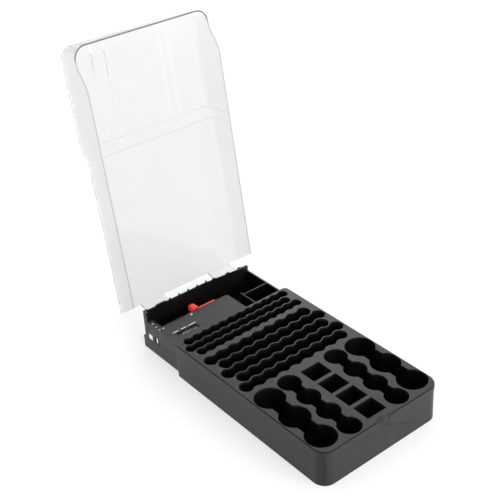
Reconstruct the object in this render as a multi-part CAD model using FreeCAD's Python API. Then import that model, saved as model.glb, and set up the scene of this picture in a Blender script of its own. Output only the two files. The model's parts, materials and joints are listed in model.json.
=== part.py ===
import FreeCAD, Part
import math
import os

from FreeCAD import Vector

# A battery storage case: a tray of battery wells, a rear bay that holds a lift-out
# battery tester, and a clear lid hinged behind the bay. Millimetres, +Z up.
# The origin is on the table, in the middle of the case's footprint. -Y is the front.

# Tray
tray_half_width = 85.2
deck_height = 46.0
deck_thickness = 2.0
skirt_wall = 1.8
front_corner_radius = 15.0
rear_corner_radius = 5.6
band_height = 7.0
band_overhang = 0.5
skirt_draft = 0.4
ledge_width = 0.8
ledge_drop = 1.6
well_wall = 1.4
slot_wall = 1.8
well_floor = 2.0
well_clearance = 0.45
slot_clearance = 1.5
row_web = 1.35
scoop_radius = 15.0
scoop_depth = 13.0
scoop_tip_radius = 9.0
scoop_reach = 6.0

# Round cells stand upright in the wells
d_cell_diameter = 34.2
d_well_depth = 44.0
d_rows = 3
d_cell_gap = 4.8
d_side_web = 1.25
d_front_margin = 6.15
d_neck_width = 19.0
c_cell_diameter = 26.2
c_well_depth = 38.0
c_rows = 4
c_cell_gap = 3.85
c_inner_web = 7.25
c_front_margin = 2.4
c_neck_width = 13.8
nine_volt_well_width = 26.8
nine_volt_well_length = 22.6
nine_volt_well_depth = 38.0
nine_volt_rows = 4
nine_volt_gap = 4.8
nine_volt_front_margin = 10.0
aa_cell_diameter = 14.5
aa_well_depth = 44.0
aa_rows = 5
aa_columns = 9
aa_cell_gap = 2.08
aa_neck_width = 11.4
aa_shift = 0.8
large_to_aa_web = 4.07
aa_to_aaa_web = 5.0
aaa_cell_diameter = 10.5
aaa_well_depth = 37.0
aaa_rows = 3
aaa_columns = 12
aaa_cell_gap = 1.63
aaa_neck_width = 9.2
aaa_shift = -2.3
aaa_rear_margin = 2.8

# Tester bay
bay_half_width = 80.3
bay_length = 73.3
bay_floor = 2.0
bay_wall = 1.8
bay_wall_drop = 5.2
back_wall_rise = 6.4
back_wall_fall_x = 10.0
back_wall_end_x = 75.0
back_wall_end_rise = 2.0
post_rise = 7.8
post_length = 7.0
post_thickness = 3.0
post_return = 6.0
rear_ledge_depth = 4.5
rear_ledge_height = 16.0
side_gap_height = 23.0
arm_gap_height = 15.5
arm_gap_lead = 3.5
divider_thickness = 1.6
long_divider_x = 41.0
long_divider_length = 34.0
cross_divider_y = 28.8
support_rib_thickness = 1.6
tester_stop_height = 8.0
wall_tooth_width = 1.6
wall_tooth_rise = 8.8
wall_tooth_pitch = 13.75
wall_tooth_count = 5
wall_tooth_middle_x = -13.7
wall_catches = ((-55.0, 14.0, 8.0), (25.8, 4.4, 6.9), (47.5, 5.0, 5.4))

# Lid, measured closed, with its heights from the deck
lid_wall = 1.8
lid_side_gap = 3.6
lid_front_gap = 3.6
lid_rim_drop = 26.5
lid_front_rim_drop = 12.0
lid_shallow_rise = 11.5
lid_deep_rise = 23.1
lid_draft = 0.5
lid_front_lean = 4.5
lid_corner_radius = 16.0
lid_edge_radius = 4.5
lid_step_front = 120.0
lid_step_run = 12.0
lid_rim_ramp_start = 49.5
lid_rim_ramp_run = 42.0
lid_rear_overhang = 4.1
lid_rear_slant = 21.0
lid_rib_height = 1.2
lid_rib_width = 1.4
lid_rib_length = 108.0
lid_rib_places = (-52.0, -34.5)
lid_open_angle = 98.0

# Hinge
hinge_setback = 8.5
hinge_drop = 13.6
hinge_pin_radius = 1.5
hinge_barrel_radius = 3.6
hinge_tab_width = 33.5
hinge_tab_thickness = 2.0
left_tab_centre = -43.55
right_tab_centre = 60.55
hinge_ear_thickness = 2.6
hinge_ear_radius = 6.4
hinge_ear_rise = 1.5
hinge_ear_foot = 19.0
hinge_web_thickness = 2.0
hinge_side_gap = 0.4
pin_fit = 0.02
barrel_fit = 0.1

# Tester
tester_gap = 0.3
tester_seat_gap = 0.1
tester_base = 16.0
tester_cap_height = 4.1
parting_gap = 0.1
parting_groove = 0.6
tester_wall = 1.6
tester_width = 106.8
tester_depth = 42.3
tester_arm_width = 7.6
tester_arm_length = 18.9
tester_corner_radius = 4.0
window_width = 30.0
window_length = 8.0
window_x = -53.5
window_front = 11.5
window_lip = 1.2
window_fit = 0.15
window_recess = 0.2
rear_groove_width = 1.0
rear_groove_depth = 0.8
rear_groove_length = 36.0

# Tester screws
screw_radius = 1.3
screw_head_radius = 2.5
screw_head_height = 1.6
screw_head_sink = 0.2
screw_fit = 0.05
screw_clearance = 0.3
screw_boss_wall = 1.0
middle_screw_x = -16.0
boss_split = 30.0
thread_depth = 8.0

# Meter
pivot_front = 8.4
meter_radius = 6.6
meter_wall = 0.9
dial_thickness = 0.6
dial_drop = 3.0
dial_width = 32.0
dial_length = 16.0
magnet_radius = 3.9
magnet_height = 8.5
coil_gap = 0.6
coil_wall = 0.7
coil_height = 9.5
needle_shaft_radius = 0.6
needle_shaft_fit = 0.2
needle_length = 10.5
needle_width = 0.6
needle_thickness = 0.4
needle_tail = 3.0
needle_over_dial = 1.0
needle_hub_radius = 1.5
needle_rest_angle = 40.0

# Slider
slider_travel = 19.0
knob_left = -26.0
knob_width = 10.0
knob_length = 12.9
knob_base = 22.0
knob_rise = 2.2
knob_corner_radius = 3.5
knob_edge_radius = 3.0
tail_length = 23.5
tail_thickness = 2.0
tail_drop = 6.8
tail_height = 7.0
tongue_width = 6.0
tongue_height = 5.0
carriage_length = 8.0
carriage_height = 7.0
guide_rod_radius = 1.5
guide_rod_setback = 6.3
guide_rod_height = 29.0
guide_fit = 0.1
guide_post_thickness = 1.6
slide_gap = 0.3
spring_wire_radius = 0.3
spring_gap = 0.5
spring_turns = 14

# Contacts and circuit
contact_thickness = 0.5
arm_contact_length = 14.0
arm_contact_height = 18.0
knob_contact_length = 8.0
knob_contact_height = 14.0
nine_volt_snap_spacing = 12.7
snap_plate_length = 7.4
snap_plate_height = 7.0
snap_plate_base = 17.7
snap_slot_length = 8.4
snap_slot_height = 8.5
snap_blade_length = 2.6
board_width = 34.0
board_length = 20.0
board_thickness = 1.2
board_height = 22.0
board_x = -16.0
board_post_radius = 1.5
resistor_radius = 1.6
resistor_length = 9.0
resistor_spacing = 6.0
resistor_count = 2

# Derived sizes
d_radius = d_cell_diameter / 2 + well_clearance
c_radius = c_cell_diameter / 2 + well_clearance
aa_end_radius = aa_cell_diameter / 2 + well_clearance
aa_radius = aa_cell_diameter / 2 + slot_clearance
aaa_end_radius = aaa_cell_diameter / 2 + well_clearance
aaa_radius = aaa_cell_diameter / 2 + slot_clearance
d_pitch = 2 * d_radius + d_cell_gap
c_pitch = 2 * c_radius + c_cell_gap
nine_volt_pitch = nine_volt_well_length + nine_volt_gap
aa_pitch = 2 * aa_end_radius + aa_cell_gap
aa_row_pitch = aa_radius + aa_neck_width / 2 + row_web
aaa_pitch = 2 * aaa_end_radius + aaa_cell_gap
aaa_row_pitch = aaa_radius + aaa_neck_width / 2 + row_web
d_column_x = tray_half_width - d_side_web - d_radius
c_column_x = nine_volt_well_width / 2 + c_inner_web + c_radius

large_wells_length = max(
    d_front_margin + (d_rows - 1) * d_pitch + 2 * d_radius,
    c_front_margin + (c_rows - 1) * c_pitch + 2 * c_radius,
    nine_volt_front_margin + nine_volt_rows * nine_volt_pitch - nine_volt_gap,
)
aa_block_length = (aa_rows - 1) * aa_row_pitch + 2 * aa_radius
aaa_block_length = (aaa_rows - 1) * aaa_row_pitch + 2 * aaa_radius
small_wells_length = aa_block_length + aa_to_aaa_web + aaa_block_length + aaa_rear_margin
case_length = large_wells_length + large_to_aa_web + small_wells_length + bay_length
front_y = -case_length / 2
rear_y = case_length / 2
tray_rear_y = rear_y - bay_length
back_wall_y = rear_y - rear_ledge_depth
d_first_y = front_y + d_front_margin + d_radius
c_first_y = front_y + c_front_margin + c_radius
nine_volt_first_y = front_y + nine_volt_front_margin + nine_volt_well_length / 2
large_split_y = front_y + large_wells_length + large_to_aa_web / 2
aa_first_y = large_split_y + large_to_aa_web / 2 + aa_radius
aa_split_y = aa_first_y - aa_radius + aa_block_length + aa_to_aaa_web / 2
aaa_first_y = aa_split_y + aa_to_aaa_web / 2 + aaa_radius

bay_wall_height = deck_height - bay_wall_drop
back_wall_height = deck_height + back_wall_rise
post_height = deck_height + post_rise
hinge_y = rear_y + hinge_setback
hinge_z = deck_height - hinge_drop
hinge_ear_top = deck_height + hinge_ear_rise
lid_rim_height = deck_height - lid_rim_drop
lid_front_rim_height = deck_height - lid_front_rim_drop
lid_shallow_height = deck_height + lid_shallow_rise
lid_deep_height = deck_height + lid_deep_rise
lid_rim_half_width = tray_half_width + lid_side_gap + lid_wall
lid_front_y = front_y - lid_front_gap - lid_wall
lid_rear_y = rear_y + lid_rear_overhang
hinge_axis_point = Vector(0, hinge_y, hinge_z)

tester_left = -bay_half_width
tester_right = tester_left + tester_width
tester_front = tray_rear_y + tester_gap
tester_rear = tester_front + tester_depth
arm_right = tester_left + tester_arm_width
arm_rear = tester_rear + tester_arm_length
tester_top = bay_wall_height
tester_parting = tester_top - tester_cap_height
knob_top = tester_top + knob_rise
tail_base = tester_top - tail_drop
tester_floor = tester_base + tester_wall
tester_ceiling = tester_top - tester_wall
step_inset = bay_wall + tester_gap
pivot_x = window_x
pivot_y = tester_front + pivot_front
dial_top = tester_ceiling - dial_drop
meter_top = dial_top - dial_thickness
needle_base = dial_top + needle_over_dial
knob_front = tester_rear + slide_gap
screw_boss_radius = screw_head_radius + screw_clearance + screw_boss_wall
arm_gap_front = tester_rear - arm_gap_lead
board_front = tester_front + tester_wall + 2 * screw_boss_radius + slide_gap
rod_y = tester_rear - guide_rod_setback
tongue_left = knob_left + (knob_width - tongue_width) / 2
far_post_left = tester_right - tester_wall - guide_post_thickness
carriage_left = knob_left + (knob_width - carriage_length) / 2
near_post_left = carriage_left - slide_gap - guide_post_thickness


def box(x0, x1, y0, y1, z0, z1):
    """A box between two corners."""
    return Part.makeBox(x1 - x0, y1 - y0, z1 - z0, Vector(x0, y0, z0))


def cylinder(radius, x, y, z0, z1):
    """An upright cylinder."""
    return Part.makeCylinder(radius, z1 - z0, Vector(x, y, z0))


def cross_cylinder(radius, x0, x1, y, z):
    """A cylinder along X."""
    return Part.makeCylinder(radius, x1 - x0, Vector(x0, y, z), Vector(1, 0, 0))


def join(shapes):
    """One solid from touching or overlapping shapes."""
    return shapes[0].multiFuse(shapes[1:]).removeSplitter()


def plan_wire(half_width, y0, y1, front_radius, back_radius, z):
    """A rectangle in plan with rounded corners, as a closed wire."""
    corners = [
        (-half_width, y0, front_radius, 180),
        (half_width, y0, front_radius, 270),
        (half_width, y1, back_radius, 0),
        (-half_width, y1, back_radius, 90),
    ]
    arcs = []
    for x, y, radius, start in corners:
        centre = Vector(x - math.copysign(radius, x), y + radius if y == y0 else y - radius, z)
        circle = Part.Circle(centre, Vector(0, 0, 1), radius)
        arcs.append(circle.toShape(math.radians(start), math.radians(start + 90)))
    edges = []
    for arc, following in zip(arcs, arcs[1:] + arcs[:1]):
        edges.append(arc)
        edges.append(Part.makeLine(arc.lastVertex().Point, following.firstVertex().Point))
    return Part.Wire(edges)


def tray_plan(grow, z):
    """The tray's outline in plan, grown outwards."""
    return plan_wire(
        tray_half_width + grow,
        front_y - grow,
        tray_rear_y + grow,
        front_corner_radius + grow,
        rear_corner_radius + grow,
        z,
    )


def prism(wire, height):
    """A wire's face pushed up."""
    return Part.Face(wire).extrude(Vector(0, 0, height))


def profile(points, x0, x1):
    """A polygon in the YZ plane, extruded along X."""
    corners = [Vector(x0, y, z) for y, z in points]
    return Part.Face(Part.makePolygon(corners + corners[:1])).extrude(Vector(x1 - x0, 0, 0))


def column_wells(radius, neck_width, x, first_y, pitch, rows, z0, z1):
    """Round wells in a line along Y, joined by straight necks."""
    last_y = first_y + (rows - 1) * pitch
    wells = [cylinder(radius, x, first_y + row * pitch, z0, z1) for row in range(rows)]
    wells.append(box(x - neck_width / 2, x + neck_width / 2, first_y, last_y, z0, z1))
    return join(wells)


def arc_middle(start, end, radius, side):
    """The middle point of an arc that bulges away from its centre's side."""
    chord = end - start
    half = chord.Length / 2
    rise = radius - math.sqrt(radius * radius - half * half)
    across = Vector(-chord.y, chord.x, 0).normalize()
    if across.y * side > 0:
        across = -across
    return (start + end) * 0.5 + across * rise


def row_wells(radius, neck_width, end_radius, first_x, pitch, count, y, grow, z0, z1):
    """One slot for cells side by side, whose long edges are waves of arcs.

    The neck arcs are larger than the swell arcs by the web between two slots, so that
    the web keeps one thickness where the next slot's swells face these necks.
    """
    swell = radius + grow
    neck = neck_width / 2 + grow
    turn = 2 * math.atan2(2 * (swell - neck), pitch)
    swell_radius = (pitch / 2 / math.sin(turn) - row_web) / 2 + grow
    lead = swell_radius * math.sin(turn)
    edge = swell - swell_radius * (1 - math.cos(turn))
    last_x = first_x + (count - 1) * pitch
    edges = []
    for side in (1, -1):
        for cell in range(count):
            x = first_x + cell * pitch
            before = Vector(x - lead, y + side * edge, z0)
            crest = Vector(x, y + side * swell, z0)
            after = Vector(x + lead, y + side * edge, z0)
            if cell == 0:
                middle = arc_middle(crest, after, swell_radius, -side)
                edges.append(Part.Arc(crest, middle, after).toShape())
            elif cell == count - 1:
                middle = arc_middle(before, crest, swell_radius, -side)
                edges.append(Part.Arc(before, middle, crest).toShape())
            else:
                edges.append(Part.Arc(before, crest, after).toShape())
            if cell < count - 1:
                waist = Vector(x + pitch / 2, y + side * neck, z0)
                following = Vector(x + pitch - lead, y + side * edge, z0)
                edges.append(Part.Arc(after, waist, following).toShape())
    for x, side in ((first_x, -1), (last_x, 1)):
        tip = Vector(x + side * (end_radius + grow), y, z0)
        ends = [Vector(x, y + half, z0) for half in (swell, -swell)]
        edges.append(Part.Arc(ends[0], tip, ends[1]).toShape())
    return prism(Part.Wire(Part.__sortEdges__(edges)), z1 - z0)


def large_wells(grow, floor_lift):
    """The wells for D, C and 9 V cells, grown sideways and lifted at the floor."""
    top = deck_height
    wells = []
    for side in (-1, 1):
        wells.append(
            column_wells(
                d_radius + grow,
                d_neck_width + 2 * grow,
                side * d_column_x,
                d_first_y,
                d_pitch,
                d_rows,
                deck_height - d_well_depth + floor_lift,
                top,
            )
        )
        wells.append(
            column_wells(
                c_radius + grow,
                c_neck_width + 2 * grow,
                side * c_column_x,
                c_first_y,
                c_pitch,
                c_rows,
                deck_height - c_well_depth + floor_lift,
                top,
            )
        )
    for row in range(nine_volt_rows):
        y = nine_volt_first_y + row * nine_volt_pitch
        half_width = nine_volt_well_width / 2 + grow
        half_length = nine_volt_well_length / 2 + grow
        floor = deck_height - nine_volt_well_depth + floor_lift
        wells.append(box(-half_width, half_width, y - half_length, y + half_length, floor, top))
    return wells


def slot_rows(first_y, row_pitch, rows, pitch, count, sizes, middle, lean, z0, grow):
    """Slots of round wells one behind another. Every second one leans the other way."""
    slots = []
    for row in range(rows):
        shift = -lean if row % 2 else lean
        first_x = middle + shift - (count - 1) * pitch / 2
        y = first_y + row * row_pitch
        slots.append(row_wells(*sizes, first_x, pitch, count, y, grow, z0, deck_height))
    return slots


def aa_wells(grow, floor_lift):
    """The slots for AA cells."""
    return slot_rows(
        aa_first_y,
        aa_row_pitch,
        aa_rows,
        aa_pitch,
        aa_columns,
        (aa_radius, aa_neck_width, aa_end_radius),
        aa_shift,
        -aa_pitch / 4,
        deck_height - aa_well_depth + floor_lift,
        grow,
    )


def aaa_wells(grow, floor_lift):
    """The slots for AAA cells."""
    return slot_rows(
        aaa_first_y,
        aaa_row_pitch,
        aaa_rows,
        aaa_pitch,
        aaa_columns,
        (aaa_radius, aaa_neck_width, aaa_end_radius),
        aaa_shift,
        aaa_pitch / 4,
        deck_height - aaa_well_depth + floor_lift,
        grow,
    )


def scoop(grow):
    """The finger scoop in the front edge, a cone that narrows downwards."""
    top = deck_height
    axis_y = front_y + scoop_reach - scoop_radius
    tip = top - scoop_depth
    taper = (scoop_radius - scoop_tip_radius) / scoop_depth
    over = well_wall
    return Part.makeCone(
        scoop_tip_radius + grow,
        scoop_radius + grow + taper * over,
        scoop_depth + over,
        Vector(0, axis_y, tip),
    )


def tray_blank():
    """The tray's outer shape, with its proud band and the ledge round the deck."""
    band_base = deck_height - ledge_drop - band_height
    foot = tray_plan(skirt_draft - band_overhang, 0)
    lower = Part.makeLoft([foot, tray_plan(-band_overhang, band_base)], True, True)
    flat = tray_half_width - rear_corner_radius
    rear_plate = box(-flat, flat, tray_rear_y - skirt_wall, tray_rear_y, 0, band_base)
    band = prism(tray_plan(0, band_base), band_height)
    deck = prism(tray_plan(-ledge_width, deck_height - ledge_drop), ledge_drop)
    return join([lower, rear_plate, band, deck])


def tray_shell():
    """The hollow tray without wells: skirt, deck and the wall behind the scoop."""
    blank = tray_blank()
    underside = deck_height - deck_thickness
    hollow = prism(tray_plan(-skirt_wall, -1), underside + 1)
    scoop_wall = scoop(skirt_wall).common(blank)
    return blank.cut(hollow), scoop_wall, blank


def tray_part(y0, y1, wells, wall):
    """The tray between two planes across it, with the wells that a function gives."""
    shell, scoop_wall, blank = tray_shell()
    slab = box(-case_length, case_length, y0, y1, -1, deck_height + 1)
    parts = [shell.common(slab), scoop_wall.common(slab)]
    parts = [part for part in parts if part.Volume > 0]
    parts += [well.common(blank) for well in wells(wall, -well_floor)]
    tray = join(parts)
    tray = tray.cut(wells(0, 0))
    return tray.cut(scoop(0)).removeSplitter()


def large_cell_tray():
    return tray_part(-case_length, large_split_y, large_wells, well_wall)


def aa_cell_tray():
    return tray_part(large_split_y, aa_split_y, aa_wells, slot_wall)


def aaa_cell_tray():
    return tray_part(aa_split_y, tray_rear_y, aaa_wells, slot_wall)


def bay_post():
    """The L-shaped post at the rear left corner of the bay."""
    left = -bay_half_width
    return join(
        [
            box(left, left + post_thickness, back_wall_y - post_length, back_wall_y, 0, post_height),
            box(left, left + post_return, back_wall_y - bay_wall, back_wall_y, 0, post_height),
        ]
    )


def back_wall():
    """The bay's back wall, level on the left and falling away to the right."""
    end_height = deck_height + back_wall_end_rise
    points = [
        (-bay_half_width, 0),
        (-bay_half_width, back_wall_height),
        (back_wall_fall_x, back_wall_height),
        (back_wall_end_x, end_height),
        (back_wall_end_x, bay_wall_height),
        (bay_half_width, bay_wall_height),
        (bay_half_width, 0),
    ]
    corners = [Vector(x, back_wall_y - bay_wall, z) for x, z in points]
    return Part.Face(Part.makePolygon(corners + corners[:1])).extrude(Vector(0, bay_wall, 0))


def wall_teeth():
    """Small teeth and catches along the top of the back wall."""
    places = list(wall_catches)
    for index in range(wall_tooth_count):
        x = wall_tooth_middle_x + (index - (wall_tooth_count - 1) / 2) * wall_tooth_pitch
        places.append((x, wall_tooth_width, wall_tooth_rise))
    front = back_wall_y - bay_wall
    teeth = []
    for x, width, rise in places:
        left = x - width / 2
        top = deck_height + rise
        teeth.append(box(left, left + width, front, back_wall_y, bay_wall_height, top))
    return teeth


def hinge_bracket(centre):
    """Two ears with pin holes behind the bay, and the web that the open lid rests on."""
    inner = hinge_tab_width / 2 + hinge_side_gap
    outer = inner + hinge_ear_thickness
    foot = back_wall_y - bay_wall / 2
    shapes = []
    for x0 in (centre - outer, centre + inner):
        x1 = x0 + hinge_ear_thickness
        points = [
            (foot, hinge_ear_foot),
            (hinge_y, hinge_z - hinge_ear_radius),
            (hinge_y, hinge_z + hinge_ear_radius),
            (back_wall_y + hinge_pin_radius, hinge_ear_top),
            (foot, hinge_ear_top),
        ]
        shapes.append(profile(points, x0, x1))
        shapes.append(cross_cylinder(hinge_ear_radius, x0, x1, hinge_y, hinge_z))
    web_top = hinge_z - hinge_barrel_radius - hinge_side_gap
    web_rear = hinge_y + hinge_barrel_radius
    shapes.append(
        box(centre - outer, centre + outer, foot, web_rear, web_top - hinge_web_thickness, web_top)
    )
    bracket = join(shapes)
    hole = cross_cylinder(
        hinge_pin_radius + pin_fit, centre - outer - 1, centre + outer + 1, hinge_y, hinge_z
    )
    return bracket.cut(hole)


def tester_bay():
    """The rear bay: floor, walls, dividers, ribs under the tester and hinge brackets."""
    left = -bay_half_width
    right = bay_half_width
    inner_left = left + bay_wall
    inner_right = right - bay_wall
    back_wall_front = back_wall_y - bay_wall
    rib_top = tester_base - tester_seat_gap
    shapes = [
        box(left, right, tray_rear_y, rear_y, 0, bay_floor),
        box(left, inner_left, tray_rear_y, back_wall_y, 0, bay_wall_height),
        box(inner_right, right, tray_rear_y, back_wall_y, 0, bay_wall_height),
        back_wall(),
        box(left, right, back_wall_front, rear_y, 0, rear_ledge_height),
    ]
    long_left = long_divider_x - divider_thickness / 2
    long_right = long_left + divider_thickness
    long_rear = tray_rear_y + long_divider_length
    shapes.append(box(long_left, long_right, tray_rear_y, long_rear, 0, bay_wall_height))
    cross_front = tray_rear_y + cross_divider_y - divider_thickness / 2
    cross_rear = cross_front + divider_thickness
    shapes.append(box(long_left, right, cross_front, cross_rear, 0, bay_wall_height))
    rib_inset = step_inset + tester_wall
    rib_lefts = [tester_left + rib_inset, tester_right - rib_inset - support_rib_thickness]
    rib_rears = [arm_rear, tester_rear + tester_gap + support_rib_thickness]
    for rib_left, rib_rear in zip(rib_lefts, rib_rears):
        rib_right = rib_left + support_rib_thickness
        shapes.append(box(rib_left, rib_right, tray_rear_y, rib_rear, 0, rib_top))
    stop_left = rib_lefts[1]
    stop_front = tester_rear + tester_gap
    shapes.append(
        box(
            stop_left,
            stop_left + support_rib_thickness,
            stop_front,
            stop_front + support_rib_thickness,
            0,
            rib_top + tester_stop_height,
        )
    )
    shapes += wall_teeth()
    shapes.append(bay_post())
    shapes += [hinge_bracket(left_tab_centre), hinge_bracket(right_tab_centre)]
    bay = join(shapes)
    alcove_rear = rear_y - bay_wall
    alcove_top = rear_ledge_height - bay_wall
    bay = bay.cut(
        box(inner_left, inner_right, back_wall_front - 1, alcove_rear, bay_floor, alcove_top)
    )
    side_gap = box(left - 1, inner_left, tray_rear_y, arm_gap_front, side_gap_height, post_height)
    arm_gap_rear = back_wall_y - post_length
    arm_gap = box(left - 1, inner_left, arm_gap_front, arm_gap_rear, arm_gap_height, post_height)
    return bay.cut([side_gap, arm_gap]).removeSplitter()


def hinge_pins():
    """Both hinge pins."""
    reach = hinge_tab_width / 2 + hinge_side_gap + hinge_ear_thickness
    pins = []
    for centre in (left_tab_centre, right_tab_centre):
        pins.append(
            cross_cylinder(hinge_pin_radius, centre - reach, centre + reach, hinge_y, hinge_z)
        )
    return Part.makeCompound(pins)


def lid_side_profile(inset):
    """The closed lid from the side: a shallow rear, a step, a deep front and a cut-back rim."""
    front = lid_front_y - lid_front_lean
    step_top_y = front_y + lid_step_front
    step_foot_y = step_top_y + lid_step_run
    shallow = lid_shallow_height - inset
    deep = lid_deep_height - inset
    if inset:
        low = lid_rim_height - lid_wall
        far = lid_rear_y + lid_rear_slant
        points = [(far, low), (far, shallow), (step_foot_y, shallow), (step_top_y, deep)]
        points += [(front, deep), (front, low)]
        return Part.makePolygon([Vector(0, y, z) for y, z in points + points[:1]])
    rise = lid_front_rim_height - lid_rim_height
    ramp_front_y = front_y + lid_rim_ramp_start - lid_rim_ramp_run
    ramp_rear_y = front_y + lid_rim_ramp_start
    turn = 2 * math.atan2(rise, lid_rim_ramp_run)
    radius = lid_rim_ramp_run / (2 * math.sin(turn))
    middle = Vector(0, (ramp_front_y + ramp_rear_y) / 2, lid_rim_height + rise / 2)
    along = radius * math.sin(turn / 2)
    up = radius * (1 - math.cos(turn / 2))
    ramp_start = Vector(0, ramp_rear_y, lid_rim_height)
    ramp_end = Vector(0, ramp_front_y, lid_front_rim_height)
    lower_arc = Part.Arc(ramp_start, ramp_start + Vector(0, -along, up), middle)
    upper_arc = Part.Arc(middle, ramp_end + Vector(0, along, -up), ramp_end)
    points = [
        (ramp_front_y, lid_front_rim_height),
        (front, lid_front_rim_height),
        (front, deep),
        (step_top_y, deep),
        (step_foot_y, shallow),
        (lid_rear_y, shallow),
        (lid_rear_y - lid_rear_slant, lid_rim_height),
        (ramp_rear_y, lid_rim_height),
    ]
    corners = [Vector(0, y, z) for y, z in points]
    edges = [lower_arc.toShape(), upper_arc.toShape()]
    edges += [Part.makeLine(start, end) for start, end in zip(corners, corners[1:])]
    return Part.Wire(Part.__sortEdges__(edges))


def lid_body(inset):
    """The lid's outer shape, or the space inside it, closed. Its front wall leans back."""
    reach = 2 * lid_rim_half_width
    side = Part.Face(lid_side_profile(inset)).extrude(Vector(2 * reach, 0, 0))
    side.translate(Vector(-reach, 0, 0))
    low = lid_rim_height - 2 * lid_wall
    high = lid_deep_height + 1
    lean_rate = lid_front_lean / (lid_deep_height - lid_front_rim_height)
    plans = []
    for z, draft in ((low, 0), (high, lid_draft)):
        plans.append(
            plan_wire(
                lid_rim_half_width - inset - draft,
                lid_front_y + inset + lean_rate * (z - lid_front_rim_height),
                lid_rear_y + 2 * lid_rear_slant,
                lid_corner_radius - inset,
                lid_corner_radius,
                z,
            )
        )
    body = Part.makeLoft(plans, True, True).common(side)
    return body.makeFillet(lid_edge_radius - inset, top_side_edges(body))


def top_side_edges(body):
    """The edges between the lid's top faces and its side and front faces."""
    edges = []
    for edge in body.Edges:
        faces = body.ancestorsOfType(edge, Part.Face)
        upward = [face for face in faces if abs(face_normal_z(face)) > 0.5]
        upright = [face for face in faces if abs(face_normal_z(face)) < 0.3]
        above = edge.CenterOfMass.z > lid_front_rim_height + lid_wall
        behind = edge.BoundBox.YMin > lid_rear_y - lid_wall
        if len(upward) == 1 and len(upright) == 1 and above and not behind:
            edges.append(edge)
    return edges


def face_normal_z(face):
    u0, u1, v0, v1 = face.ParameterRange
    return face.normalAt((u0 + u1) / 2, (v0 + v1) / 2).z


def lid_tab(centre):
    """A hinge tab that hangs from the top plate's rear edge, with its barrel."""
    half = hinge_tab_width / 2
    top = lid_shallow_height
    points = [
        (lid_rear_y - hinge_tab_thickness - lid_wall, top - lid_wall),
        (lid_rear_y - hinge_tab_thickness, top),
        (lid_rear_y, top),
        (hinge_y + hinge_barrel_radius, hinge_z),
        (hinge_y + hinge_barrel_radius - hinge_tab_thickness, hinge_z),
        (lid_rear_y - hinge_tab_thickness, top - lid_wall),
    ]
    tab = profile(points, centre - half, centre + half)
    barrel = cross_cylinder(hinge_barrel_radius, centre - half, centre + half, hinge_y, hinge_z)
    return join([tab, barrel])


def lid_cover():
    """The clear lid, built closed and swung open."""
    lid = lid_body(0).cut(lid_body(lid_wall))
    tabs = [lid_tab(left_tab_centre), lid_tab(right_tab_centre)]
    rib_front = lid_front_y + lid_front_lean + lid_corner_radius
    rib_top = lid_deep_height - lid_wall / 2
    rib_base = lid_deep_height - lid_wall - lid_rib_height
    ribs = []
    for x in lid_rib_places:
        half = lid_rib_width / 2
        ribs.append(
            box(x - half, x + half, rib_front, rib_front + lid_rib_length, rib_base, rib_top)
        )
    lid = join([lid] + tabs + ribs)
    bore = hinge_pin_radius + barrel_fit
    reach = hinge_tab_width / 2 + 1
    for centre in (left_tab_centre, right_tab_centre):
        lid = lid.cut(cross_cylinder(bore, centre - reach, centre + reach, hinge_y, hinge_z))
    lid.rotate(hinge_axis_point, Vector(1, 0, 0), -lid_open_angle)
    return lid


def tester_outline(inset, z0, z1):
    """The tester's L shape in plan: a body with an arm along its left side."""
    body = box(
        tester_left + inset, tester_right - inset, tester_front + inset, tester_rear - inset, z0, z1
    )
    radius = tester_corner_radius - inset
    corner = tester_right - inset
    upright = [
        edge
        for edge in body.Edges
        if abs(edge.Length - (z1 - z0)) < 1e-6
        and edge.BoundBox.XMin > corner - 1
        and edge.BoundBox.YMin > tester_rear - inset - 1
    ]
    body = body.makeFillet(radius, upright)
    arm = box(
        tester_left + inset, arm_right - inset, tester_front + inset, arm_rear - inset, z0, z1
    )
    return join([body, arm])


def screw_places():
    """Where the tester's four screws stand."""
    inner = tester_wall + screw_boss_radius
    left = tester_left + step_inset + inner
    front = tester_front + inner
    return [
        (left, front),
        (middle_screw_x, front),
        (tester_right - inner, front),
        ((tester_left + arm_right) / 2, arm_rear - tester_arm_width / 2),
    ]


def rear_slot():
    """The slot in the tester's rear wall that the slider's tongue runs in."""
    middle = guide_rod_height
    half = tongue_height / 2 + slide_gap
    x0 = tongue_left - slide_gap
    x1 = tongue_left + tongue_width + slider_travel + slide_gap
    return box(x0, x1, tester_rear - tester_wall - 1, tester_rear + 1, middle - half, middle + half)


def snap_places():
    """The middles of the 9 V contacts on the left face, rear one first."""
    plate_y = arm_rear - snap_plate_length / 2 - contact_thickness
    return plate_y, plate_y - nine_volt_snap_spacing


def rod_posts():
    """The two uprights that hold the guide rod."""
    y0 = rod_y - guide_rod_radius - tester_wall
    y1 = rod_y + guide_rod_radius + tester_wall
    top = guide_rod_height + guide_rod_radius + tester_wall
    posts = []
    for x0 in (near_post_left, far_post_left):
        posts.append(box(x0, x0 + guide_post_thickness, y0, y1, tester_base, top))
    return posts


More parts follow.
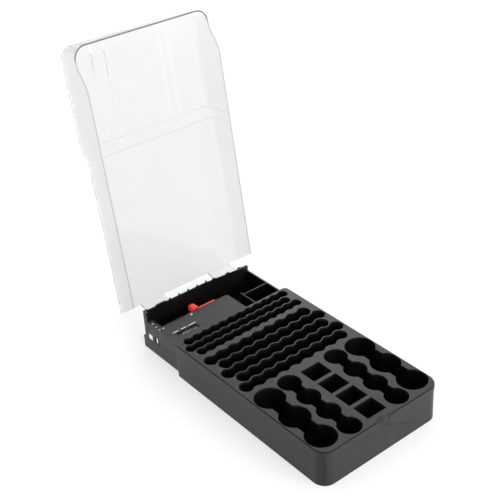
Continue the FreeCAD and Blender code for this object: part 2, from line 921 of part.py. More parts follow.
def tester_bottom_shell():
    """The lower half of the tester's case."""
    top = tester_parting - parting_groove
    shell = tester_outline(0, tester_base, top)
    cavity = tester_outline(tester_wall, tester_floor, top)
    notch_rear = arm_gap_front + tester_gap
    notch_top = side_gap_height + tester_gap
    notch_right = tester_left + step_inset
    wall = tester_wall
    left = tester_left
    front = tester_front
    notch = box(left, notch_right, front, notch_rear, tester_base, notch_top)
    notch_wall = box(
        left, notch_right + wall, front, notch_rear + wall, tester_base, notch_top + wall
    )
    shell = shell.cut(cavity.cut(notch_wall)).cut(notch)
    additions = rod_posts()
    bosses = [cylinder(screw_boss_radius, x, y, tester_base, boss_split) for x, y in screw_places()]
    outline = tester_outline(0, tester_base, boss_split)
    additions += [boss.common(outline) for boss in bosses]
    for x, y in board_posts():
        additions.append(cylinder(board_post_radius, x, y, tester_base, board_height))
    shell = join([shell] + additions)
    shell = shell.cut(notch)
    cuts = [rear_slot(), rod_hole()]
    head_top = tester_base + screw_head_sink + screw_head_height + screw_clearance
    for x, y in screw_places():
        cuts.append(cylinder(screw_head_radius + screw_clearance, x, y, tester_base - 1, head_top))
        cuts.append(cylinder(screw_radius + screw_clearance, x, y, tester_base, boss_split))
    plate_y, slot_y = snap_places()
    face = tester_left + contact_thickness
    plate_top = snap_plate_base + snap_plate_height
    half = snap_plate_length / 2
    cuts.append(
        box(tester_left - 1, face, plate_y - half, plate_y + half, snap_plate_base, plate_top)
    )
    half = snap_slot_length / 2
    slot_top = snap_plate_base + snap_slot_height
    inside = tester_left + wall - contact_thickness
    cuts.append(
        box(tester_left - 1, inside, slot_y - half, slot_y + half, snap_plate_base, slot_top)
    )
    return shell.cut(cuts).removeSplitter()


def rod_hole():
    x0 = near_post_left - 1
    x1 = far_post_left + guide_post_thickness
    return cross_cylinder(guide_rod_radius + screw_fit, x0, x1, rod_y, guide_rod_height)


def board_posts():
    """Where the posts under the circuit board stand."""
    inset = 2 * board_post_radius
    x_reach = board_width / 2 - inset
    y0 = board_front + inset
    y1 = board_front + board_length - inset
    return [(board_x + dx, y) for dx in (-x_reach, x_reach) for y in (y0, y1)]


def window_box(grow, z0, z1):
    """The window's place in the tester's top, grown sideways."""
    y0 = tester_front + window_front
    return box(
        window_x - window_width / 2 - grow,
        window_x + window_width / 2 + grow,
        y0 - grow,
        y0 + window_length + grow,
        z0,
        z1,
    )


def tester_top_shell():
    """The upper half of the tester's case, with its window opening and rear groove."""
    shell = tester_outline(0, tester_parting, tester_top)
    shell = shell.cut(tester_outline(tester_wall, tester_parting - 1, tester_ceiling))
    bosses = []
    for x, y in screw_places():
        radius = screw_radius + screw_boss_wall
        bosses.append(cylinder(radius, x, y, boss_split + parting_gap, tester_top))
    shell = join([shell] + bosses)
    top_left = arm_right + tester_wall / 2
    groove_y = tester_rear - tester_wall
    cuts = [
        window_box(0, tester_ceiling - 1, tester_top + 1),
        box(
            top_left,
            top_left + rear_groove_length,
            groove_y,
            groove_y + rear_groove_width,
            tester_top - rear_groove_depth,
            tester_top + 1,
        ),
    ]
    hole_end = boss_split + thread_depth + screw_clearance
    for x, y in screw_places():
        cuts.append(cylinder(screw_radius + screw_fit, x, y, boss_split, hole_end))
    return shell.cut(cuts).removeSplitter()


def shell_screws():
    """Four screws, driven from below."""
    base = tester_base + screw_head_sink
    screws = []
    for x, y in screw_places():
        head = cylinder(screw_head_radius, x, y, base, base + screw_head_height)
        shank = cylinder(screw_radius, x, y, base, boss_split + thread_depth)
        screws.append(join([head, shank]))
    return Part.makeCompound(screws)


def gauge_window():
    """The clear window: a raised pane with a lip under the shell."""
    pane = window_box(-window_fit, tester_ceiling - window_lip, tester_top - window_recess)
    lip = window_box(window_lip, tester_ceiling - window_lip, tester_ceiling)
    return join([pane, lip])


def gauge_dial():
    """The scale plate under the needle, with a hole for the needle's shaft."""
    x0 = pivot_x - dial_width / 2
    y0 = pivot_y - meter_radius / 2
    plate = box(x0, x0 + dial_width, y0, y0 + dial_length, meter_top, dial_top)
    hole_radius = needle_shaft_radius + needle_shaft_fit
    return plate.cut(cylinder(hole_radius, pivot_x, pivot_y, meter_top - 1, dial_top + 1))


def meter_housing():
    """The meter's cup, standing on the tester's floor."""
    cup = cylinder(meter_radius, pivot_x, pivot_y, tester_floor, meter_top)
    hollow = cylinder(
        meter_radius - meter_wall, pivot_x, pivot_y, tester_floor + meter_wall, meter_top + 1
    )
    return cup.cut(hollow)


def meter_magnet():
    """The meter's round magnet, on the cup's floor."""
    base = tester_floor + meter_wall
    magnet = cylinder(magnet_radius, pivot_x, pivot_y, base, base + magnet_height)
    bore = cylinder(
        needle_shaft_radius + needle_shaft_fit, pivot_x, pivot_y, base - 1, base + magnet_height + 1
    )
    return magnet.cut(bore)


def moving_coil():
    """The coil's former, a cup turned over the magnet and fixed to the needle's shaft."""
    base = tester_floor + meter_wall + coil_gap
    inner = magnet_radius + coil_gap
    top = base + coil_height
    former = cylinder(inner + coil_wall, pivot_x, pivot_y, base, top)
    hollow = cylinder(inner, pivot_x, pivot_y, base - 1, top - coil_wall)
    shaft_hole = cylinder(needle_shaft_radius + pin_fit, pivot_x, pivot_y, base, top + 1)
    return former.cut([hollow, shaft_hole])


def needle_shaft():
    """The upright shaft that carries the needle and the coil."""
    base = tester_floor + meter_wall + parting_gap
    return cylinder(needle_shaft_radius, pivot_x, pivot_y, base, needle_base + needle_thickness)


def gauge_needle():
    """The needle, at rest towards the left end of the dial."""
    top = needle_base + needle_thickness
    half = needle_width / 2
    y0 = pivot_y - needle_tail
    y1 = pivot_y + needle_length
    bar = box(pivot_x - half, pivot_x + half, y0, y1, needle_base, top)
    hub = cylinder(needle_hub_radius, pivot_x, pivot_y, needle_base, top)
    hole = cylinder(needle_shaft_radius + pin_fit, pivot_x, pivot_y, needle_base - 1, top + 1)
    needle = join([bar, hub]).cut(hole)
    needle.rotate(Vector(pivot_x, pivot_y, 0), Vector(0, 0, 1), needle_rest_angle)
    return needle


def guide_rod():
    """The steel rod that the slider runs on."""
    x1 = far_post_left + guide_post_thickness
    return cross_cylinder(guide_rod_radius, near_post_left, x1, rod_y, guide_rod_height)


def slider_carriage():
    """The slider's inner block on the guide rod, with its tongue through the rear slot."""
    x1 = carriage_left + carriage_length
    rear = tester_rear - tester_wall - slide_gap
    front = 2 * rod_y - rear
    middle = guide_rod_height
    half = carriage_height / 2
    block = box(carriage_left, x1, front, rear, middle - half, middle + half)
    half = tongue_height / 2
    tongue = box(
        tongue_left, tongue_left + tongue_width, rod_y, knob_front, middle - half, middle + half
    )
    bore = cross_cylinder(
        guide_rod_radius + guide_fit, carriage_left - 1, x1 + 1, rod_y, guide_rod_height
    )
    return join([block, tongue]).cut(bore)


def slider_knob():
    """The slider's outer knob, with a tapered tail along the tester's rear face."""
    x1 = knob_left + knob_width
    rear = knob_front + knob_length
    knob = box(knob_left, x1, knob_front, rear, knob_base, knob_top)
    upright = [
        edge
        for edge in knob.Edges
        if abs(edge.Length - (knob_top - knob_base)) < 1e-6 and edge.BoundBox.YMin > rear - 1
    ]
    knob = knob.makeFillet(knob_corner_radius, upright)
    rim = [
        edge
        for edge in knob.Edges
        if edge.BoundBox.ZMin > knob_top - slide_gap and edge.BoundBox.YMax > knob_front + slide_gap
    ]
    knob = knob.makeFillet(knob_edge_radius, rim)
    low_end = tail_base + tail_height / 2
    points = [
        Vector(x1 - knob_corner_radius, knob_front, tail_base),
        Vector(x1 + tail_length, knob_front, low_end),
        Vector(x1 + tail_length, knob_front, tail_base + tail_height),
        Vector(x1 - knob_corner_radius, knob_front, tail_base + tail_height),
    ]
    tail = Part.Face(Part.makePolygon(points + points[:1])).extrude(Vector(0, tail_thickness, 0))
    return join([knob, tail])


def slider_spring():
    """The coil spring on the guide rod that pushes the slider to the left."""
    start = carriage_left + carriage_length
    length = far_post_left - start
    coil_radius = guide_rod_radius + spring_gap + spring_wire_radius
    run = length - 2 * spring_wire_radius
    helix = Part.makeHelix(run / spring_turns, run, coil_radius)
    circle = Part.Circle(Vector(coil_radius, 0, 0), Vector(0, 1, 0), spring_wire_radius)
    wire = Part.Wire([circle.toShape()])
    spring = helix.makePipeShell([wire], True, True)
    spring.rotate(Vector(0, 0, 0), Vector(0, 1, 0), 90)
    spring.translate(Vector(start + spring_wire_radius, rod_y, guide_rod_height))
    return spring


def arm_contact():
    """The contact strip on the arm, facing the slider."""
    y0 = tester_rear + (tester_arm_length - arm_contact_length) / 2
    middle = (knob_base + tester_parting) / 2
    half = arm_contact_height / 2
    return box(
        arm_right,
        arm_right + contact_thickness,
        y0,
        y0 + arm_contact_length,
        middle - half,
        middle + half,
    )


def slider_contact():
    """The contact strip on the slider's knob."""
    middle_y = knob_front + (knob_length - knob_corner_radius) / 2
    middle_z = (knob_base + knob_top) / 2
    y_half = knob_contact_length / 2
    z_half = knob_contact_height / 2
    return box(
        knob_left - contact_thickness,
        knob_left,
        middle_y - y_half,
        middle_y + y_half,
        middle_z - z_half,
        middle_z + z_half,
    )


def snap_plate():
    """The square 9 V contact on the left face."""
    plate_y = snap_places()[0]
    half = snap_plate_length / 2
    return box(
        tester_left,
        tester_left + contact_thickness,
        plate_y - half,
        plate_y + half,
        snap_plate_base,
        snap_plate_base + snap_plate_height,
    )


def snap_blade():
    """The narrow 9 V contact in its recess on the left face."""
    slot_y = snap_places()[1]
    half = snap_blade_length / 2
    back = tester_left + tester_wall - contact_thickness
    margin = contact_thickness
    return box(
        back - contact_thickness,
        back,
        slot_y - half,
        slot_y + half,
        snap_plate_base + margin,
        snap_plate_base + snap_slot_height - margin,
    )


def circuit_board():
    """The circuit board on its posts."""
    x0 = board_x - board_width / 2
    y0 = board_front
    top = board_height + board_thickness
    return box(x0, x0 + board_width, y0, y0 + board_length, board_height, top)


def load_resistors():
    """The load resistors on the circuit board."""
    z = board_height + board_thickness + resistor_radius
    first_y = board_front + (board_length - (resistor_count - 1) * resistor_spacing) / 2
    x0 = board_x - resistor_length / 2
    resistors = []
    for index in range(resistor_count):
        y = first_y + index * resistor_spacing
        resistors.append(cross_cylinder(resistor_radius, x0, x0 + resistor_length, y, z))
    return Part.makeCompound(resistors)


PIECES = [
    large_cell_tray,
    aa_cell_tray,
    aaa_cell_tray,
    tester_bay,
    hinge_pins,
    lid_cover,
    tester_bottom_shell,
    tester_top_shell,
    shell_screws,
    gauge_window,
    gauge_dial,
    meter_housing,
    meter_magnet,
    moving_coil,
    needle_shaft,
    gauge_needle,
    guide_rod,
    slider_carriage,
    slider_knob,
    slider_spring,
    arm_contact,
    slider_contact,
    snap_plate,
    snap_blade,
    circuit_board,
    load_resistors,
]

os.makedirs("parts", exist_ok=True)
for piece in PIECES:
    shape = piece()
    shape.exportStep("parts/" + piece.__name__ + ".step")
    print(piece.__name__, len(shape.Solids), shape.isValid(), round(shape.Volume / 1000, 2), "cm3")
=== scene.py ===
import json
import math

import bmesh
import bpy
from mathutils import Matrix, Vector


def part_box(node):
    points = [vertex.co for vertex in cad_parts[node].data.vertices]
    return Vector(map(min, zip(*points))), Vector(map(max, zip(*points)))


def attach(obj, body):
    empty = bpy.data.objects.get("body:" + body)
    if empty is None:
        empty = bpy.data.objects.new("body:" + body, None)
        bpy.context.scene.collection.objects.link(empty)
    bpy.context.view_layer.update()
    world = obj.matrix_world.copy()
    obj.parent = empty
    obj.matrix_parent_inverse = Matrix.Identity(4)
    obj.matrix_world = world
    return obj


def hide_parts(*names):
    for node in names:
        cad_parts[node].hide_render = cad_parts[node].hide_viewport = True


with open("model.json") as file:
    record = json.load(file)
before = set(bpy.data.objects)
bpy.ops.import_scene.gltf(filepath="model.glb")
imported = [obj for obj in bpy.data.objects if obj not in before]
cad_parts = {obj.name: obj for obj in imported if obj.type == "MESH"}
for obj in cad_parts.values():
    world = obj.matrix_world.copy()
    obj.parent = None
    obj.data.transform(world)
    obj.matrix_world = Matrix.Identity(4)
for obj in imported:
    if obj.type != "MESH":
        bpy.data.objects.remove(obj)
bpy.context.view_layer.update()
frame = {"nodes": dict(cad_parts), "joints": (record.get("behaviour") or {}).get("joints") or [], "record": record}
slotOfNode = {part["node"]: part["material_slot"] for part in frame["record"]["subparts"]}
bodyOfNode = {
    node: body
    for body, members in frame["record"]["behaviour"]["bodies"].items()
    for node in members
}
joints = {joint["name"]: joint for joint in frame["joints"]}
print("frame loaded:", len(frame["nodes"]), "nodes")


# A node's output that takes part in ordinary arithmetic
class Wire:
    def __init__(self, paint, socket):
        self.paint = paint
        self.socket = socket

    def math(self, operation, first, second):
        return self.paint.wire(
            "ShaderNodeMath", "Value", {"operation": operation}, {0: first, 1: second}
        )

    def __add__(self, other):
        return self.math("ADD", self, other)

    def __radd__(self, other):
        return self.math("ADD", other, self)

    def __sub__(self, other):
        return self.math("SUBTRACT", self, other)

    def __rsub__(self, other):
        return self.math("SUBTRACT", other, self)

    def __mul__(self, other):
        return self.math("MULTIPLY", self, other)

    def __rmul__(self, other):
        return self.math("MULTIPLY", other, self)


# A material while its nodes are being laid out
class Paint:
    def __init__(self, name):
        self.material = bpy.data.materials.new(name)
        self.material.use_nodes = True
        self.tree = self.material.node_tree
        self.tree.nodes.clear()
        self.place = self.wire("ShaderNodeTexCoord", "Object")

    def node(self, kind, settings=None, inputs=None):
        made = self.tree.nodes.new(kind)
        for name, value in (settings or {}).items():
            setattr(made, name, value)
        for key, value in (inputs or {}).items():
            if isinstance(value, Wire):
                self.tree.links.new(value.socket, made.inputs[key])
            else:
                made.inputs[key].default_value = value
        return made

    def wire(self, kind, output, settings=None, inputs=None):
        return Wire(self, self.node(kind, settings, inputs).outputs[output])

    def noise(self, size, detail=2.0, place=None):
        inputs = {"Vector": place or self.place, "Scale": 1 / size, "Detail": detail}
        return self.wire("ShaderNodeTexNoise", "Fac", None, inputs)

    def stretched(self, scale, turn=0.0):
        inputs = {"Vector": self.place, "Scale": scale, "Rotation": (0, 0, math.radians(turn))}
        return self.wire("ShaderNodeMapping", "Vector", None, inputs)

    def step(self, value, start, endShade):
        inputs = {"Value": value, "From Min": start, "From Max": endShade}
        settings = {"interpolation_type": "SMOOTHSTEP"}
        return self.wire("ShaderNodeMapRange", "Result", settings, inputs)

    def blend(self, factor, first, second):
        inputs = {0: factor, 6: first, 7: second}
        return self.wire("ShaderNodeMix", 2, {"data_type": "RGBA"}, inputs)

    def distance(self, point):
        inputs = {0: self.place, 1: point}
        return self.wire("ShaderNodeVectorMath", "Value", {"operation": "DISTANCE"}, inputs)

    def bump(self, height, depth=1.0):
        inputs = {"Height": height, "Distance": depth, "Strength": 1.0}
        return self.wire("ShaderNodeBump", "Normal", None, inputs)

    def finish(self, inputs):
        shader = self.node("ShaderNodeBsdfPrincipled", None, inputs)
        output = self.node("ShaderNodeOutputMaterial")
        self.tree.links.new(shader.outputs["BSDF"], output.inputs["Surface"])
        return self.material


def grey(level):
    return (level, level, level, 1.0)


# Moulded plastic: a fine spark grain, slow changes of gloss and faint scuffs.
# It has painted shade below wellTop, from wellFront to wellRear, where a wellTop is given: it is darker there, as
# if shade fell into the wells.
# Each mark is a shallow ring where an ejector pin touched the moulding
def mouldedPlastic(name, values):
    paint = Paint(name)
    grain = paint.noise(values["grainSize"], 3.0)
    flow = paint.noise(values["flowSize"], 3.0)
    scuffPlace = paint.stretched(values["scuffStretch"], values["scuffTurn"])
    scuffs = paint.noise(values["scuffSize"], 4.0, scuffPlace)
    scuffs = paint.step(scuffs, values["scuffStart"], values["scuffEnd"])
    colour = paint.blend(flow, values["darkColour"], values["lightColour"])
    colour = paint.blend(scuffs * values["scuffAmount"], colour, values["scuffColour"])
    if values["wellTop"]:
        parts = paint.node("ShaderNodeSeparateXYZ", None, {"Vector": paint.place})
        along = Wire(paint, parts.outputs["Y"])
        height = Wire(paint, parts.outputs["Z"])
        fade = values["wellFade"]
        edge = values["wellEdge"]
        # painted shade: darken below wellTop, between wellFront and wellRear
        shadeDepthMask = 1 - paint.step(height, values["wellTop"] - fade, values["wellTop"])
        shadeSpanMask = paint.step(along, values["wellFront"] - edge, values["wellFront"])
        shadeSpanMask = shadeSpanMask - paint.step(along, values["wellRear"], values["wellRear"] + edge)
        colour = paint.blend(shadeDepthMask * shadeSpanMask, colour, values["wellShadeColour"])
    roughness = values["roughness"] + (flow - 0.5) * values["flowGloss"]
    roughness = roughness + (grain - 0.5) * values["grainGloss"] + scuffs * values["scuffGloss"]
    relief = grain * values["grainDepth"]  # in metres, as the rings' relief is
    radius = values["markRadius"]
    inner = radius * values["markInner"]
    soft = radius * values["markSoftness"]
    for mark in values["marks"]:
        away = paint.distance(mark)
        ring = paint.step(away, inner, inner + soft)
        ring = ring - paint.step(away, radius, radius + soft)
        colour = paint.blend(ring * values["markDarkness"], colour, values["markColour"])
        relief = relief - ring * values["markDepth"]
    return paint.finish(
        {
            "Base Color": colour,
            "Roughness": roughness,
            "Specular IOR Level": values["specular"],
            "Normal": paint.bump(relief),
        }
    )


trayLow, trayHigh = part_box("large_cell_tray")
deckTop = trayHigh.z
casePlastic = {
    "darkColour": (0.0110, 0.0110, 0.0112, 1.0),
    "lightColour": (0.0170, 0.0170, 0.0171, 1.0),
    "scuffColour": (0.055, 0.055, 0.056, 1.0),
    "scuffAmount": 0.25,
    "scuffSize": 0.012,
    "scuffStretch": (1.0, 0.08, 0.3),
    "scuffTurn": 35.0,
    "scuffStart": 0.62,
    "scuffEnd": 0.72,
    "scuffGloss": 0.05,
    "roughness": 0.40,
    "flowSize": 0.045,
    "flowGloss": 0.10,
    "grainSize": 0.0006,
    "grainGloss": 0.16,
    "grainDepth": 0.00005,
    "specular": 0.42,
    # painted shade in the wells: darker below the deck, between the tray's front and the AAA tray's rear
    "wellTop": deckTop - 0.0002,
    "wellFront": trayLow.y + 0.003,
    "wellRear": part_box("aaa_cell_tray")[1].y,
    "wellFade": 0.004,
    "wellEdge": 0.0005,
    "wellShadeColour": (0.002, 0.002, 0.002, 1.0),
    "marks": [
        (-0.048, -0.040, deckTop),
        (0.0, -0.043, deckTop),
        (0.051, -0.040, deckTop),
        (0.002, 0.050, deckTop),
        (-0.054, -0.121, deckTop),
        (0.051, -0.119, deckTop),
    ],
    "markRadius": 0.0019,
    "markInner": 0.7,
    "markSoftness": 0.1,
    "markColour": grey(0.004),
    "markDarkness": 0.6,
    "markDepth": 0.0002,
}
bayLow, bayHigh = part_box("tester_bay")
# The bay's plastic: painted shade darkens the bay below just above its top, from its front to its rear
bayShadePlastic = dict(
    casePlastic,
    wellTop=bayHigh.z + 0.001,
    wellFront=bayLow.y,
    wellRear=0.1575,
    marks=[],
)
testerPlastic = dict(
    casePlastic,
    wellTop=0.0,
    marks=[],
    darkColour=(0.0185, 0.0185, 0.0190, 1.0),
    lightColour=(0.0255, 0.0255, 0.0260, 1.0),
    roughness=0.46,
    grainSize=0.0005,
)
meterPlastic = dict(testerPlastic, roughness=0.55, scuffAmount=0.0)
redPlastic = dict(
    testerPlastic,
    darkColour=(0.74, 0.020, 0.011, 1.0),
    lightColour=(0.86, 0.034, 0.019, 1.0),
    scuffColour=(0.85, 0.12, 0.08, 1.0),
    scuffAmount=0.2,
    roughness=0.26,
    grainSize=0.0009,
    grainDepth=0.00002,
    specular=0.5,
)
boardPlastic = dict(
    testerPlastic,
    darkColour=(0.03, 0.09, 0.03, 1.0),
    lightColour=(0.045, 0.13, 0.04, 1.0),
)
resistorPlastic = dict(
    testerPlastic,
    darkColour=(0.35, 0.25, 0.14, 1.0),
    lightColour=(0.45, 0.34, 0.2, 1.0),
)
printInk = dict(
    testerPlastic,
    darkColour=(0.62, 0.62, 0.62, 1.0),
    lightColour=(0.82, 0.82, 0.82, 1.0),
    roughness=0.5,
    scuffAmount=0.0,
)


# Metal: fine brushing along one way, with slow changes of gloss
def brushedMetal(name, values):
    paint = Paint(name)
    brush = paint.noise(values["brushSize"], 3.0, paint.stretched(values["brushStretch"]))
    cloud = paint.noise(values["cloudSize"], 2.0)
    return paint.finish(
        {
            "Base Color": paint.blend(cloud, values["darkColour"], values["lightColour"]),
            "Metallic": values["metallic"],
            "Roughness": values["roughness"] + (brush - 0.5) * values["brushGloss"],
            "Normal": paint.bump(brush, values["brushDepth"]),
        }
    )


steel = {
    "darkColour": (0.52, 0.52, 0.53, 1.0),
    "lightColour": (0.66, 0.66, 0.66, 1.0),
    "metallic": 1.0,
    "roughness": 0.28,
    "brushSize": 0.0008,
    "brushStretch": (0.1, 1.0, 1.0),
    "brushGloss": 0.2,
    "brushDepth": 0.00002,
    "cloudSize": 0.006,
}
contactMetal = dict(
    steel,
    darkColour=(0.80, 0.79, 0.76, 1.0),
    lightColour=(0.93, 0.92, 0.89, 1.0),
    roughness=0.2,
    brushStretch=(1.0, 1.0, 0.15),
)
magnetMetal = dict(steel, darkColour=grey(0.12), lightColour=grey(0.2), roughness=0.5)
coilCopper = dict(
    steel,
    darkColour=(0.55, 0.24, 0.10, 1.0),
    lightColour=(0.78, 0.40, 0.20, 1.0),
    brushStretch=(0.2, 0.2, 1.0),
)
needleMetal = dict(steel, darkColour=grey(0.72), lightColour=grey(0.85), metallic=0.0)


# Clear moulded plastic: a slight tint, faint flow waves and hairline scratches, with painted shade along the
# plate's steps and at the ends, a painted highlight along the ribs and painted light on the side wall.
# Its lines, ribs and ends are placed as on the shut lid, so the place is turned first
def clearPlastic(name, values):
    paint = Paint(name)
    turn = math.radians(values["turn"])
    hinge = Vector(values["hinge"])
    shift = hinge - Matrix.Rotation(turn, 3, "X") @ hinge
    inputs = {"Vector": paint.place, "Rotation": (turn, 0, 0), "Location": shift}
    closed = paint.wire("ShaderNodeMapping", "Vector", None, inputs)
    parts = paint.node("ShaderNodeSeparateXYZ", None, {"Vector": closed})
    across = Wire(paint, parts.outputs["X"])
    along = Wire(paint, parts.outputs["Y"])
    waves = paint.noise(values["waveSize"], 3.0)
    scratchPlace = paint.stretched(values["scratchStretch"], values["scratchTurn"])
    scratches = paint.noise(values["scratchSize"], 4.0, scratchPlace)
    scratches = paint.step(scratches, values["scratchStart"], values["scratchEnd"])
    colour = paint.blend(waves, values["darkColour"], values["lightColour"])
    half = values["lineWidth"] / 2
    # painted shade: darker lines where the plate steps across
    for place in values["stepShadeLines"]:
        paintedLine = paint.step(along, place - 2 * half, place - half)
        paintedLine = paintedLine - paint.step(along, place + half, place + 2 * half)
        colour = paint.blend(paintedLine * values["lineAmount"], colour, values["stepShadeColour"])
    # painted highlight: lighter lines along the ribs
    for place in values["ribHighlightLines"]:
        paintedLine = paint.step(across, place - 2 * half, place - half)
        paintedLine = paintedLine - paint.step(across, place + half, place + 2 * half)
        lineEnd = paint.step(along, values["longEnd"], values["longEnd"] + values["longFade"])
        paintedLine = paintedLine * (1 - lineEnd)
        colour = paint.blend(paintedLine * values["lineAmount"], colour, values["ribHighlightColour"])
    # painted light: the side wall band is lightened
    wallEnd = values["wallStart"] + values["wallFade"]
    wallLight = 1 - paint.step(across, -wallEnd, -values["wallStart"])
    colour = paint.blend(wallLight, colour, values["wallPaintedLightColour"])
    # painted shade: the ends are darkened
    endShade = 1 - paint.step(along, values["endStart"], values["endStart"] + values["endFade"])
    endShade = endShade + paint.step(along, values["hingeEnd"], values["hingeEnd"] + values["endFade"])
    colour = paint.blend(endShade, colour, values["endShadeColour"])
    return paint.finish(
        {
            "Base Color": colour,
            "Roughness": values["roughness"] + scratches * values["scratchGloss"],
            "IOR": values["ior"],
            "Transmission Weight": values["transmission"],
            "Alpha": values["alpha"],
            "Normal": paint.bump(waves, values["waveDepth"]),
        }
    )


lidPlastic = {
    "darkColour": (0.765, 0.77, 0.77, 1.0),
    "lightColour": (0.81, 0.815, 0.815, 1.0),
    "turn": -joints["lid_hinge"]["range_deg"][0],
    "hinge": joints["lid_hinge"]["pos_m"],
    # the step lines get painted shade, the rib lines a painted highlight
    "stepShadeLines": [-0.0435, -0.0315],
    "ribHighlightLines": [-0.052, -0.0345, 0.0395, 0.0515],
    "longEnd": -0.046,
    "longFade": 0.004,
    "lineWidth": 0.0009,
    "lineAmount": 0.6,
    # painted shade for the step lines, then painted highlight for the ribs
    "stepShadeColour": (0.66, 0.67, 0.67, 1.0),
    "ribHighlightColour": (0.88, 0.885, 0.885, 1.0),
    "wallStart": 0.0855,
    "wallFade": 0.001,
    # painted light on the side wall
    "wallPaintedLightColour": (0.93, 0.935, 0.935, 1.0),
    "endStart": -1.0,
    "hingeEnd": 1.0,
    "endFade": 0.01,
    "endShadeColour": (0.82, 0.82, 0.82, 1.0),
    "roughness": 0.03,
    "scratchSize": 0.01,
    "scratchStretch": (1.0, 0.05, 0.05),
    "scratchTurn": 12.0,
    "scratchStart": 0.64,
    "scratchEnd": 0.72,
    "scratchGloss": 0.1,
    "waveSize": 0.03,
    "waveDepth": 0.00006,
    "ior": 1.3,
    "alpha": 0.9,
    "transmission": 1.0,
}
# The rim's material: painted shade, darker all round and darkest near both ends
lidRimShade = dict(
    lidPlastic,
    darkColour=(0.46, 0.465, 0.465, 1.0),
    lightColour=(0.54, 0.545, 0.545, 1.0),
    stepShadeLines=[],
    ribHighlightLines=[],
    wallStart=1.0,
    endStart=-0.158,
    hingeEnd=0.158,
    endShadeColour=(0.19, 0.195, 0.195, 1.0),
    alpha=1.0,
    transmission=0.1,
)
windowPlastic = dict(
    lidPlastic,
    stepShadeLines=[],
    ribHighlightLines=[],
    wallStart=1.0,
    alpha=0.35,
    waveSize=0.01,
    waveDepth=0.00002,
)


# The gauge's card: three coloured zones across the window, on paper fibre
def gaugeCard(name, values):
    paint = Paint(name)
    parts = paint.node("ShaderNodeSeparateXYZ", None, {"Vector": paint.place})
    across = Wire(paint, parts.outputs["X"])
    soft = values["zoneSoftness"]
    first = paint.step(across, values["firstEdge"] - soft, values["firstEdge"] + soft)
    second = paint.step(across, values["secondEdge"] - soft, values["secondEdge"] + soft)
    colour = paint.blend(first, values["leftColour"], values["middleColour"])
    colour = paint.blend(second, colour, values["rightColour"])
    fibre = paint.noise(values["fibreSize"], 4.0)
    colour = paint.blend(fibre * values["fibreAmount"], colour, values["fibreColour"])
    return paint.finish(
        {
            "Base Color": colour,
            "Roughness": values["roughness"] + (fibre - 0.5) * values["fibreGloss"],
            "Normal": paint.bump(fibre, values["fibreDepth"]),
        }
    )


dialCard = {
    "leftColour": (0.045, 0.05, 0.07, 1.0),
    "middleColour": (0.15, 0.19, 0.06, 1.0),
    "rightColour": (0.14, 0.035, 0.025, 1.0),
    "firstEdge": -0.0588,
    "secondEdge": -0.0478,
    "zoneSoftness": 0.0006,
    "roughness": 0.55,
    "fibreSize": 0.0004,
    "fibreAmount": 0.35,
    "fibreColour": grey(0.02),
    "fibreGloss": 0.2,
    "fibreDepth": 0.00002,
}

materials = {
    "case_plastic": mouldedPlastic("case_plastic_look", casePlastic),
    "tester_plastic": mouldedPlastic("tester_plastic_look", testerPlastic),
    "clear_plastic": clearPlastic("clear_plastic_look", lidPlastic),
    "window_plastic": clearPlastic("window_plastic_look", windowPlastic),
    "dial_card": gaugeCard("dial_card_look", dialCard),
    "red_plastic": mouldedPlastic("red_plastic_look", redPlastic),
    "meter_plastic": mouldedPlastic("meter_plastic_look", meterPlastic),
    "magnet": brushedMetal("magnet_look", magnetMetal),
    "coil_copper": brushedMetal("coil_copper_look", coilCopper),
    "needle_metal": brushedMetal("needle_metal_look", needleMetal),
    "steel": brushedMetal("steel_look", steel),
    "contact_metal": brushedMetal("contact_metal_look", contactMetal),
    "board": mouldedPlastic("board_look", boardPlastic),
    "resistor": mouldedPlastic("resistor_look", resistorPlastic),
}
inkMaterial = mouldedPlastic("print_ink_look", printInk)
rimShadeMaterial = clearPlastic("lid_rim_shade_look", lidRimShade)
bayShadeMaterial = mouldedPlastic("bay_painted_shade_look", bayShadePlastic)
for node, piece in frame["nodes"].items():
    for slot in piece.material_slots:
        slot.material = materials[slotOfNode[node]]
print("materials laid out:", len(materials), "for the nodes")


def finishedObject(name, net, material, body):
    mesh = bpy.data.meshes.new(name)
    net.to_mesh(mesh)
    net.free()
    mesh.materials.clear()
    mesh.materials.append(material)
    piece = bpy.data.objects.new(name, mesh)
    bpy.context.scene.collection.objects.link(piece)
    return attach(piece, body)


def smoothFaces(net, sharpAngle):
    for face in net.faces:
        face.smooth = True
        face.material_index = 0
    for edge in net.edges:
        edge.smooth = len(edge.link_faces) == 2 and edge.calc_face_angle() < sharpAngle


# A welded copy of a node with rounded edges, which stands for the node
def carryOver(node, values):
    net = bmesh.new()
    net.from_mesh(frame["nodes"][node].data)
    bmesh.ops.remove_doubles(net, verts=net.verts, dist=values["weld"])
    bmesh.ops.recalc_face_normals(net, faces=net.faces)
    bmesh.ops.dissolve_limit(
        net, angle_limit=values["flatAngle"], verts=net.verts, edges=net.edges
    )
    smoothFaces(net, values["sharpAngle"])
    slot = slotOfNode[node]
    piece = finishedObject(node + "_finished", net, materials[slot], bodyOfNode[node])
    custom = piece.data.attributes.get("custom_normal")
    if custom:
        piece.data.attributes.remove(custom)  # the old normals don't fit the welded mesh
    if values["round"]:
        bevel = piece.modifiers.new("rounding", "BEVEL")
        bevel.width = values["round"]
        bevel.segments = values["segments"]
        bevel.limit_method = "ANGLE"
        bevel.angle_limit = values["sharpAngle"]
        bevel.use_clamp_overlap = values["clamp"]
        bevel.harden_normals = True
    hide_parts(node)
    return piece


